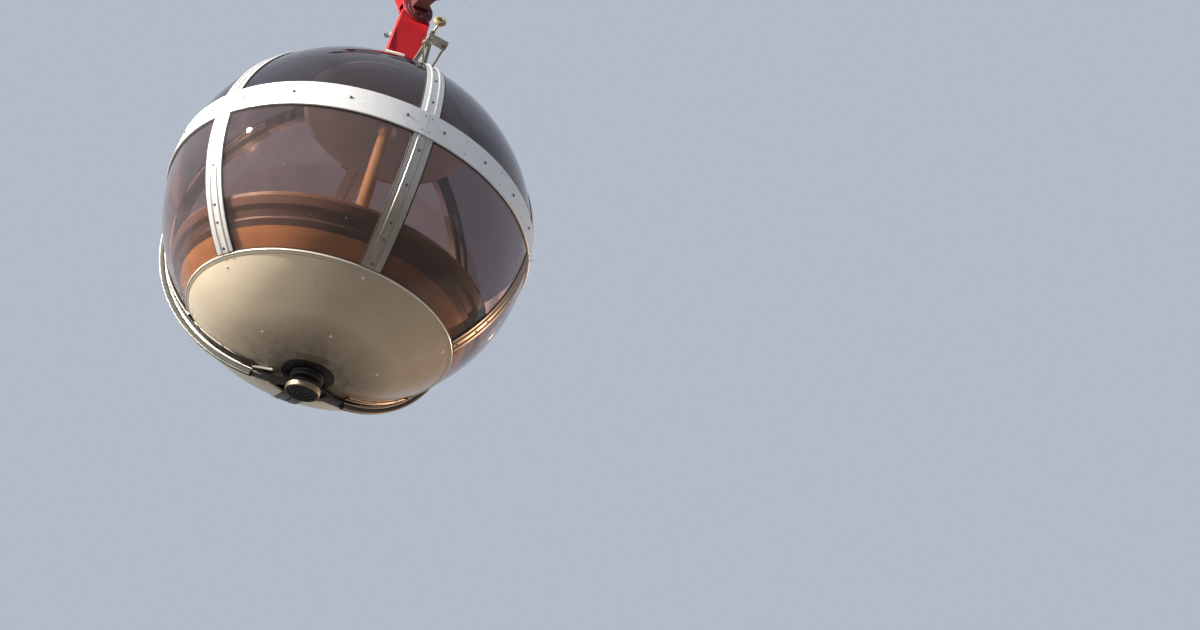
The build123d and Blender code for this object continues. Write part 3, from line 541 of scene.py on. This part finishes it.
# ---------------------------------------------------------------------------
# Ribs, band, rim and doorway rails with rolled edges
# ---------------------------------------------------------------------------
RIBS = [210.0, 270.0, 330.0]
half = [(14, 6.2), (16.5, 7.2), (18, 9.5), (18.8, 12), (21, 13), (27, 13), (29.2, 12), (30, 9.5), (31.5, 7.2), (34, 6.2),
        (50, 6.0), (54, 5.4), (56, 3.6), (56, 0.3)]
RIB_PROFILE = [(-w, h) for w, h in reversed(half)] + half
for name, lat0, lat1 in (("upper_ribs", BAND_LAT + 0.1, CAP_LAT - 0.1), ("lower_ribs", PAN_LAT + 0.9, -BAND_LAT - 0.1)):
    b = Builder()
    for psi in RIBS:
        # lower ribs: psi 330 takes the painted warm reflection, psi 270 the painted shade
        b.slot = 0 if lat1 > 0 or psi == 210.0 else 1 if psi == 330.0 else 2
        b.meridian(psi, RIB_PROFILE, lat0, lat1)
    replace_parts(b.make(name + "_rolled", [RIB, RIB_WARM_REFLECTION, RIB_SHADED], "cabin", 40), name)

# the band: lengths that butt at the ribs
L = BAND_LAT
BAND_PROFILE = [(-L, -12), (-L, 10.5), (-L + 0.08, 12.4), (-L + 0.22, 13), (-L + 0.5, 12.2), (L - 0.5, 12.2), (L - 0.22, 13),
                (L - 0.08, 12.4), (L, 10.5), (L, -12)]
b = Builder()
for p0, p1 in ((150.3, 209.97), (210.03, 269.96), (270.04, 329.97), (330.03, 389.7)):
    b.parallel(p0, p1, BAND_PROFILE, 64)
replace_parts(b.make("band_lengths", BAND, "cabin", 40), "equator_band")

b = Builder()
b.parallel(157.5, 382.5, [(PAN_LAT - 0.9, 0.2), (PAN_LAT - 0.89, 0.35), (PAN_LAT - 0.4, 1.0), (PAN_LAT + 0.1, 2.2), (PAN_LAT + 0.3, 2.6),
                          (PAN_LAT + 0.45, 2.4), (PAN_LAT + 0.7, 1.0), (PAN_LAT + 0.7, 0.2)], 240)
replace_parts(b.make("rim_fold", PAN, "cabin", 50), "pan_rim")
b = Builder()
b.parallel(157.5, 382.5, [(PAN_LAT + 0.14, 2.2), (PAN_LAT + 0.16, 4.8), (PAN_LAT + 0.24, 6), (PAN_LAT + 0.38, 6), (PAN_LAT + 0.46, 4.8),
                          (PAN_LAT + 0.48, 2.0), (PAN_LAT + 0.3, 1.6)], 240)
b.make("rim_bead", LIP, "cabin", 50)

RAIL = [(2, 0.3), (2, 11), (4, 13), (16, 13), (18, 11), (19, 6.5), (34, 6), (35, 10), (37, 12), (45, 12), (47, 10), (48, 6),
        (61, 6), (62.5, 10.5), (65, 13), (76, 13), (79, 11), (80, 7), (80, 0.3)]
RAIL_SLIM = [(2, 0.3), (2, 11), (4, 13), (16, 13), (18, 11), (19, 6.5), (33, 6), (34, 9), (36, 10.5), (44, 10.5), (46.5, 9), (48, 5), (48, 0.3)]
b, g = Builder(), Builder()
PARTS = ((RAIL_SLIM, RAIL_LOW, PAN_LAT - 0.9), (RAIL, PAN_LAT - 0.9, -BAND_LAT - 0.1), (RAIL, BAND_LAT + 0.1, CAP_LAT - 0.1))
for psi, s in ((150.0, 1), (30.0, -1)):
    for prof, lat0, lat1 in PARTS:
        # rails at psi 150 take the painted dark reflection, at psi 30 the painted warm reflection
        b.slot = 0 if psi == 150.0 else 1
        b.meridian(psi, [(s * w, h) for w, h in prof], lat0, lat1)
        g.meridian(psi, [(s * w, h) for w, h in ((19.2, 5.6), (19.2, 9.5), (22, 11), (30, 11), (32.8, 9.5), (32.8, 5.6))], lat0 + 0.1, lat1 - 0.1)
        if prof is RAIL:
            g.meridian(psi, [(s * w, h) for w, h in ((48.4, 5.4), (48.4, 8.4), (51, 9.6), (58, 9.6), (60.8, 8.4), (60.8, 5.4))], lat0 + 0.1, lat1 - 0.1)
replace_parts(b.make("doorway_rails_rolled", [RIB_DARK_REFLECTION, RIB_WARM_REFLECTION], "cabin", 40), "doorway_rails")
g.make("rail_channels", RUBBER, "cabin", 40)
b = Builder()
p, q = on_ball(150.6, -73.5, 10)[0], on_ball(161.5, -80.2, 10)[0]
b.tube([p, p + (q - p) * 0.05, q - (q - p) * 0.05, q], 8, 16)
b.make("rail_sleeve", LIP, "cabin", 40)

# rubber seals beside the ribs and the doorway rails, and along the band
b = Builder()
for psi in RIBS:
    for s in (-1, 1):
        bead = [(s * w, h) for w, h in ((56.3, 0.3), (56.3, 3.2), (58, 4.4), (61, 3.6), (64, 0.3))]
        b.meridian(psi, bead, PAN_LAT + 0.9, -BAND_LAT - 0.5)
        b.meridian(psi, bead, BAND_LAT + 0.5, CAP_LAT - 0.1)
for psi, s in ((150.0, 1), (30.0, -1)):
    bead = [(s * w, h) for w, h in ((80.4, 0.3), (80.4, 5), (83, 7), (88, 5), (91, 0.3))]
    b.meridian(psi, bead, PAN_LAT + 0.9, -BAND_LAT - 0.5)
    b.meridian(psi, bead, BAND_LAT + 0.5, CAP_LAT - 0.1)
b.parallel(154.4, 385.6, [(-L - 0.03, 0.3), (-L - 0.03, 4), (-L - 0.2, 4.4), (-L - 0.42, 0.3)], 160)
b.parallel(154.4, 385.6, [(L + 0.03, 0.3), (L + 0.03, 4), (L + 0.2, 4.4), (L + 0.42, 0.3)], 160)
b.make("pane_seals", RUBBER, "cabin")

# pale strip on the glass at the outline under the arm: a painted highlight
b = Builder()
b.parallel(249.5, 257.5, [(41.8, 0.2), (41.8, 7), (42.0, 9.4), (42.8, 9.4), (43.0, 7), (43.0, 0.2)], 40)
b.make("roof_highlight_strip", HIGHLIGHT_TRIM, "cabin", 40)

# ---------------------------------------------------------------------------
# Bolts and fasteners
# ---------------------------------------------------------------------------
b = Builder()
for psi in (159, 174, 189, 204, 216, 232, 248, 264, 275.3, 290.6, 305.7, 321, 337, 352, 367, 381):
    b.bolt(*on_ball(psi, 0.2, 12.2), 6.4)
for psi in (283, 298, 313):
    for lat in (-2.4, 2.4):
        b.bolt(*on_ball(psi, lat, 12.2), 4.0, "flat")
for psi in (209.0, 211.0, 269.0, 271.0, 329.0, 331.0):
    for lat in (-2.6, 2.6):
        b.bolt(*on_ball(psi, lat, 12.2), 4.2, "flat")
for psi in RIBS:
    for lat in (-9.5, -20.8, -32.3, -37.3, -44.6, 10, 23, 36, 49, 62):
        b.bolt(*on_ball(psi, lat, 6.2), 6.2)
for psi, s in ((150.0, 1), (30.0, -1)):
    for lat in (-12, -24, -36, -43, -55, -66, 12, 26, 40, 54, 66):
        b.bolt(*on_ball(psi, lat, 6.0, s * 26.5), 5.2)
        b.bolt(*on_ball(psi, lat + 3, 6.0, s * 54.5), 4.6)
b.make("frame_bolts", BOLT, "cabin")

b = Builder()
for psi, lat in ((208.1, -49.6), (269.1, -49.2), (330, -49.4), (208.9, -70.0), (267.6, -69.5), (330, -69.8)):
    b.bolt(*on_ball(psi, lat), 5.6)
b.make("pan_bolts", LIP, "cabin")

b = Builder()
for psi, lat in ((234.3, -23.4), (261.3, 16.2), (256.1, -35.2), (282.2, -25.4), (244.6, -36.5), (190, -24), (312, -30),
                 (232, 18), (292, 18), (196, 20)):
    b.bolt(*on_ball(psi, lat), 3.2)
b.make("pane_fasteners", BOLT, "cabin")

# ---------------------------------------------------------------------------
# Hub below
# ---------------------------------------------------------------------------
b = Builder()
b.lathe(CEN, UP, [(40, -1047), (40, -1132), (42, -1134), (64, -1135), (69, -1138), (70, -1144), (70, -1160), (66, -1165),
                  (66, -1168), (90, -1169), (94, -1173), (94, -1200), (90, -1205), (82, -1207.5), (76, -1207.5), (73, -1201),
                  (62, -1201), (60, -1206), (50, -1206), (47, -1199), (34, -1199), (32, -1204), (20, -1204), (18, -1198), (2, -1198)], 64)
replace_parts(b.make("hub_cap_turned", BLACK, "cabin", 28), "hub_pin")
b = Builder()
b.lathe(CEN, UP, [(88, -1170), (94, -1171), (96.5, -1174), (96.5, -1199), (95, -1203), (92, -1205), (88, -1205)], 64, 0, True)
b.make("hub_ring", GOLD, "cabin", 28)
b = Builder()
for k in range(8):
    a = 2 * pi * k / 8 + 0.2
    b.bolt(CEN + Vector((0.122 * cos(a), 0.122 * sin(a), -1.0829)), (0, 0, -1), 6.5, "hex")
b.make("hub_disc_bolts", BLACK, "cabin")

# ---------------------------------------------------------------------------
# Inside: posts and pole sockets
# ---------------------------------------------------------------------------
b = Builder()
for psi, s in ((150.0, 1), (30.0, -1)):
    b.slot = 0 if psi == 150.0 else 1
    b.meridian(psi, [(s * w, h) for w, h in ((-26, -14), (-26, -34), (-20, -42), (20, -42), (26, -34), (26, -14))], -38, 44)
    b.slot = 0 if psi == 150.0 else 2
    b.meridian(psi, [(s * w, h) for w, h in ((50, -12), (50, -26), (56, -32), (78, -32), (84, -26), (84, -12))], -38, 44)
b.slot = 0
for psi in (210.0, 330.0):
    b.meridian(psi, [(w, h) for w, h in ((-34, -12), (-30, -24), (30, -24), (34, -12))], -30, 44)
b.make("inner_posts", [POST, POST_PALE, POST_SLATE], "cabin", 40)
b = Builder()
b.lathe(CEN, UP, [(41, -848), (66, -848), (66, -842), (60, -836), (50, -833), (45, -826), (41, -826)], 40, 0, True)
b.lathe(CEN, UP, [(41, 878), (70, 878), (70, 872), (62, 866), (50, 863), (45, 856), (41, 856)], 40, 0, True)
b.make("pole_sockets", STEEL, "cabin")

# ---------------------------------------------------------------------------
# Door leaves: seals on the meeting edges, edge rubber and beads, bolts
# ---------------------------------------------------------------------------
for leaf, psi_low, psi_high, meet in (("door_a", 30.0, 90.0, 90.0), ("door_b", 90.0, 150.0, 90.0)):
    b = Builder()
    s = -1 if leaf == "door_a" else 1
    b.meridian(meet, [(s * w, h) for w, h in ((1.5, 22), (1.5, 37), (3.5, 38.6), (8, 39.8), (12, 39.2), (12, 22))], -72, 72)
    b.make(leaf + "_meeting_seal", RUBBER, leaf, 40)
    b, g = Builder(), Builder()
    e, t = (30.0, 1) if leaf == "door_a" else (150.0, -1)
    for w_h in (((2.2, 57), (-2, 57), (-3.2, 55), (-3.2, 37), (-2, 35), (2.2, 35)), ((5, 62.8), (5, 65), (19, 65), (20.5, 62.8)),
                ((27, 39.8), (27, 46), (30, 48), (34, 46), (36, 39.8))):
        b.meridian(e, [(t * w, h) for w, h in w_h], -73.8, 73.8)
    for w_h in (((2.2, 58), (-1.8, 58.5), (-2.6, 61), (-1.2, 64.4), (2, 65.8), (4.6, 65), (4.6, 62.8)), ((2.2, 24), (-3, 24), (-5, 26), (-5, 31), (-3, 33), (2.2, 33)),
                ((50, 39.8), (50.5, 43), (53, 44.5), (57, 44.5), (60, 43), (60.5, 39.8))):
        g.meridian(e, [(t * w, h) for w, h in w_h], -73.8, 73.8)
    b.make(leaf + "_edge_rubber", RUBBER, leaf, 40)
    # edge beads: painted shade on door_b, painted warm reflection on door_a
    g.make(leaf + "_edge_beads", RIB_SHADED if leaf == "door_b" else RIB_WARM_REFLECTION, leaf, 40)
    b = Builder()
    for psi, t in ((psi_low, 1), (psi_high, -1)):
        for lat in (-64, -52, -40, -28, -16, 16, 28, 40, 52, 64):
            b.bolt(*on_ball(psi, lat, 39.6, t * 40), 5.0)
    b.make(leaf + "_bolts", BOLT, leaf)

# ---------------------------------------------------------------------------
# Roof: bolts on the cap, ring under the hanger foot, roller
# ---------------------------------------------------------------------------
b = Builder()
for k in range(18):
    b.bolt(*on_ball(20 * k + 10, 74.6, 6), 6.0)
b.make("cap_bolts", BOLT, "cabin")
b = Builder()
b.lathe(CEN, UP, [(72, 1159.5), (122, 1159.5), (126, 1162), (126, 1168), (122, 1171), (72, 1171)], 64, 0, True)
b.make("foot_ring", LIP, "cabin")

d = Vector((-0.17, -0.98, 0.10)).normalized()
BACK = ROLL - d * 0.030
b = Builder()
b.lathe(ROLL, d, [(10, -16), (26, -17.5), (35, -14), (40.5, -7), (42, 0), (40.5, 7), (35, 14), (27, 17.5), (20, 16.5), (17, 11), (10, 11)], 44)
b.make("lever_roller", ROLLER, "cabin")
b = Builder()
b.lathe(ROLL, d, [(3, 10), (16.5, 10.6), (16.5, 13.5), (12, 14.5), (11.5, 19), (9, 21.5), (3, 21.5)], 24)
b.lathe(ROLL, d, [(9, -26), (16, -26), (16, -16), (9, -16)], 24, 0, True)
b.make("roller_hub", BLACK, "cabin")
b = Builder()
e = (BACK - STEM).normalized()
b.tube([STEM - e * 0.012, STEM, BACK - e * 0.012, BACK + d * 0.004], 9, 20)
b.tube([BACK - d * 0.006, BACK, ROLL + d * 0.010], 9, 20)
b.lathe(STEM + e * 0.012, e, [(9, 0), (15, 0), (15, 9), (12, 11), (9, 11)], 6, 0, True)
b.make("roller_stem", LEVER, "cabin")
b = Builder()
for x, y in ((-0.06, -0.829), (0.02, -0.829)):
    b.bolt(CEN + Vector((x, y, 0.941)), (0, 0, -1), 7, "hex")
for p, n in ((Vector((-0.084, -0.780, 0.985)), (-1, 0, 0)), (Vector((0.0, -0.215, 1.250)), (0, 0, -1)), (Vector((-0.022, -0.600, 1.283)), (0, 0, -1))):
    b.bolt(CEN + p, n, 7, "hex")
b.make("lever_bolts", BOLT, "cabin")

# ---------------------------------------------------------------------------
# Hanger and carriage details
# ---------------------------------------------------------------------------
SPRING = PIVOT + ALONG * -0.060 + SQUARE * 0.014
b = Builder()
for y0, y1, r in ((0.4435, 0.455, 46), (0.572, 0.588, 45.5)):
    b.lathe(SPRING + Vector((0, y0, 0)), (0, 1, 0), [(40, 0), (r - 1.2, 0), (r, 1.2), (r, (y1 - y0) * 1000 - 1.2), (r - 1.2, (y1 - y0) * 1000), (40, (y1 - y0) * 1000)], 56, 0, True)
b.lathe(SPRING + Vector((0, 0.588, 0)), (0, 1, 0), [(16.2, 0), (27, 0), (27, 9), (22, 12), (16.2, 12)], 6, 0, True)
b.make("spring_collars", ZINC, "carriage")
b = Builder()
o = PIVOT + ALONG * -0.103 + SQUARE * 0.054 + Vector((0, 0.650, 0))
n = Vector((0.557, 0, 0.830)).normalized()
a0 = SPRING + Vector((0, 0.628, 0))
u = (o - a0).normalized()
v = n.cross(Vector((0, 1, 0))).normalized()
b.tube([a0 - u * 0.016, a0, o - u * 0.014], 4.5, 12)
rim = [o + (v * cos(a) + Vector((0, 1, 0)) * sin(a)) * 0.014 for a in (2 * pi * k / 28 for k in range(28))]
b.loft([[p + ((p - o).normalized() * cos(c) + n * sin(c)) * 0.0055 for c in (2 * pi * k / 10 for k in range(10))] for p in rim], loop=True)
b.make("spring_eye", BLACK, "carriage")
b = Builder()
face = PIVOT + Vector((0, 0.225, 0))
for k in range(8):
    a = 2 * pi * k / 8
    b.bolt(face + (ALONG * cos(a) + SQUARE * sin(a)) * 0.087, OUT, 6.5, "hex")
b.make("pivot_bolts", RED_DARK, "carriage")
b = Builder()
for s in (-1, 1):
    b.tube([PIVOT + Vector((s * 0.1165, y, z)) for y, z in ((0.262, -0.20), (0.322, -0.55), (0.385, -0.85), (0.45, -1.10))], 4.5, 10)
b.make("arm_weld_beads", RED, "cabin")
b = Builder()
for s in (-0.475, 0.475):
    c = ALONG * s + SQUARE * 0.1315
    b.lathe(c + OUT * 0.081, OUT, [(46, 0), (46, 6), (40, 9), (22, 9), (18, 5), (3, 5)], 40)
    for k in range(6):
        a = 2 * pi * k / 6
        b.bolt(c + OUT * 0.090 + (ALONG * cos(a) + SQUARE * sin(a)) * 0.031, OUT, 4, "hex")
b.make("truck_pin_caps", STEEL, "carriage")
for body, s0 in (("truck_lower", -0.475), ("truck_upper", 0.475)):
    b = Builder()
    for s in (-0.3, 0.3):
        c = ALONG * (s0 + s) + SQUARE * 0.1315
        b.lathe(c + Vector((0, 0.062, 0)), (0, 1, 0), [(34, 0), (34, 6), (28, 12), (20, 13), (4, 13)], 6, 0.3)
    for s, n in ((-0.30, 0.062), (-0.12, 0.068), (0.08, 0.074), (0.24, 0.084), (0.34, 0.03), (0.30, -0.055)):
        b.bolt(ALONG * (s0 + s) + SQUARE * (0.1315 + n) + OUT * 0.088, OUT, 7, "hex")
    b.make(body + "_bolts", BOLT, body)
for i, s in ((1, -0.775), (2, -0.175), (3, 0.175), (4, 0.775)):
    b = Builder()
    c = ALONG * s + SQUARE * 0.1315
    for side in (-1, 1):
        for k in range(6):
            a = 2 * pi * k / 6 + 0.4
            b.bolt(c + Vector((0, side * 0.0160, 0)) + (ALONG * cos(a) + SQUARE * sin(a)) * 0.061, (0, side, 0), 4.5, "hex")
    b.make("wheel_%d_bolts" % i, BOLT, "wheel_%d" % i)

# ---------------------------------------------------------------------------
# Stage, light and camera
# ---------------------------------------------------------------------------
CAM = CEN + Vector((-0.8236, -4.5608, -3.5271)) * R
right, up = Vector((0.8394, -0.5341, 0.1003)), Vector((-0.3819, -0.4485, 0.8080))
look = up.cross(right).normalized()
right = (right - look * right.dot(look)).normalized()
up = right.cross(look).normalized()
cam = bpy.data.cameras.new("camera")
cam.sensor_width = 36.0
cam.lens = 993.6 / 1200 * 36.0
cam.clip_end = 200
co = bpy.data.objects.new("camera", cam)
co.matrix_world = Matrix(((right.x, up.x, -look.x, CAM.x), (right.y, up.y, -look.y, CAM.y), (right.z, up.z, -look.z, CAM.z), (0, 0, 0, 1)))
bpy.context.scene.collection.objects.link(co)
bpy.context.scene.camera = co

fl = Builder()
zf = CAM.z - 0.12
N = 24
fl.v = [((i / N - 0.5) * 120, (j / N - 0.5) * 120, zf) for i in range(N + 1) for j in range(N + 1)]
fl.f = [(i * (N + 1) + j, (i + 1) * (N + 1) + j, (i + 1) * (N + 1) + j + 1, i * (N + 1) + j + 1) for i in range(N) for j in range(N)]
me = bpy.data.meshes.new("studio_floor")
me.from_pydata(fl.v, [], fl.f)
me.materials.append(plastic("studio_pale", (0.54, 0.45, 0.355), (0.51, 0.425, 0.335), 0.8, 0.0, 0.3, 0.5, 0.0, 0.0))
floor = bpy.data.objects.new("studio_floor", me)
bpy.context.scene.collection.objects.link(floor)

world = bpy.data.worlds.new("studio")
world.use_nodes = True
bg = world.node_tree.nodes["Background"]
bg.inputs[0].default_value = (0.64, 0.71, 0.82, 1)
bg.inputs[1].default_value = 0.70
bpy.context.scene.world = world
bpy.context.scene.view_settings.view_transform = "Standard"


def lamp(name, az, el, dist, size, watts, color, beam=None, mirror=True):
    """A soft disc, or a beam that keeps off the floor."""
    a, e = radians(az), radians(el)
    d = Vector((cos(a) * cos(e), sin(a) * cos(e), sin(e)))
    li = bpy.data.lights.new(name, "SPOT" if beam else "AREA")
    if beam:
        li.spot_size = radians(beam)
        li.spot_blend = 0.35
        li.shadow_soft_size = size / 2
    else:
        li.shape = "DISK"
        li.size = size
    li.energy = watts
    li.color = color
    o = bpy.data.objects.new(name, li)
    o.location = CEN + d * dist
    o.rotation_euler = d.to_track_quat("Z", "Y").to_euler()
    o.visible_glossy = mirror
    o.visible_transmission = mirror
    bpy.context.scene.collection.objects.link(o)


lamp("key", -171.3, 18.3, 9, 0.36, 10500, (1, 0.93, 0.82), 40)
lamp("soft_left", 180, -2, 9, 2.4, 3300, (1, 0.93, 0.83), 34, False)
lamp("soft_high", -135, 30, 9, 2.4, 1100, (1, 0.97, 0.93), 34, False)
lamp("warm_right", 18, -4, 9, 0.3, 1500, (1, 0.68, 0.43), 34)
